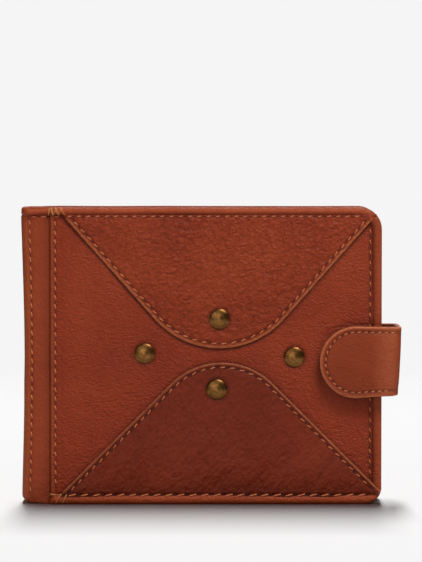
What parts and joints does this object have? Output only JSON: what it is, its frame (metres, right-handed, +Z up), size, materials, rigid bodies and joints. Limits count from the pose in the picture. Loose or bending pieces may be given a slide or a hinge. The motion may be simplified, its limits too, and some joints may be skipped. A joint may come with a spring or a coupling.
{
  "type": "trifold wallet",
  "caption": "Landscape leather trifold wallet with shaped overlays, dome rivets, folded-in window flap and a snap strap round the right edge.",
  "frame": {"origin": "centre of the bounding box's bottom, the wallet standing upright on its bottom edge, closed", "axes": "+X from the spine towards the strap, +Y from the front cover to the back cover, +Z up"},
  "size_m": [0.121, 0.0226, 0.095],
  "materials": {
    "leather_brown": "grained, waxed, rubbed lighter on raised edges",
    "leather_dark": "pebbled, darker brown",
    "leather_spine": "grained, waxed",
    "leather_inner": "smooth",
    "woven_lining": "fine weave",
    "board": "matte",
    "thread": "waxed thread",
    "antique_brass": "aged, satin",
    "snap_metal": "satin",
    "clear_window": "clear"
  },
  "bodies": {
    "back_leaf": {"back_cover": "leather_brown", "back_spine_wing": "leather_spine", "back_board": "board", "back_lining": "woven_lining", "back_note_edging": "leather_inner", "back_divider": "leather_inner", "back_slot_edging": "leather_inner", "back_slot_sheets": "leather_inner", "back_seams": "thread", "strap_root": "leather_brown", "strap_root_lining": "leather_inner", "strap_root_seam": "thread"},
    "spine": {"spine_panel": "leather_spine", "spine_lining": "woven_lining"},
    "front_leaf": {"front_cover": "leather_brown", "front_spine_wing": "leather_spine", "front_board": "board", "front_lining": "woven_lining", "front_note_edging": "leather_inner", "front_divider": "leather_inner", "front_slot_edging": "leather_inner", "front_slot_sheets": "leather_inner", "front_seams": "thread", "upper_overlay": "leather_brown", "lower_overlay": "leather_dark", "overlay_seams": "thread", "rivet_caps": "antique_brass", "rivet_backs": "antique_brass", "snap_stud": "snap_metal", "snap_stud_back": "snap_metal", "flap_hinge_strip": "leather_inner"},
    "inner_flap": {"flap_base": "leather_inner", "flap_edging": "leather_inner", "flap_window": "clear_window", "flap_window_frame": "leather_inner", "flap_seams": "thread"},
    "strap_side": {"strap_side": "leather_brown", "strap_side_lining": "leather_inner"},
    "strap_tab": {"strap_tab": "leather_brown", "strap_tab_lining": "leather_inner", "strap_tab_seam": "thread", "snap_socket": "snap_metal", "snap_socket_plate": "snap_metal"}
  },
  "joints": [
    {"name": "spine_back_fold", "type": "hinge", "parent": "back_leaf", "child": "spine", "pos_m": [-0.05977, 0.00777, 0.0475], "axis": [0, 0, -1], "range_deg": [0, 90], "deforming": ["strap_tab", "strap_tab_lining", "strap_tab_seam", "snap_socket", "snap_socket_plate"]},
    {"name": "spine_front_fold", "type": "hinge", "parent": "spine", "child": "front_leaf", "pos_m": [-0.05977, -0.00557, 0.0475], "axis": [0, 0, -1], "range_deg": [0, 90]},
    {"name": "flap_fold", "type": "hinge", "parent": "front_leaf", "child": "inner_flap", "pos_m": [0.051, 0.0005, 0.0475], "axis": [0, 0, -1], "range_deg": [0, 180]},
    {"name": "strap_root_fold", "type": "hinge", "parent": "back_leaf", "child": "strap_side", "pos_m": [0.05977, 0.01037, 0.0475], "axis": [0, 0, 1], "range_deg": [0, 90]},
    {"name": "strap_tab_fold", "type": "hinge", "parent": "strap_side", "child": "strap_tab", "pos_m": [0.05977, -0.01037, 0.0475], "axis": [0, 0, 1], "range_deg": [0, 90]}
  ],
  "couplings": [
    {"joint": "spine_front_fold", "follows": "spine_back_fold", "ratio": 1},
    {"joint": "flap_fold", "follows": "spine_back_fold", "ratio": 2}
  ]
}
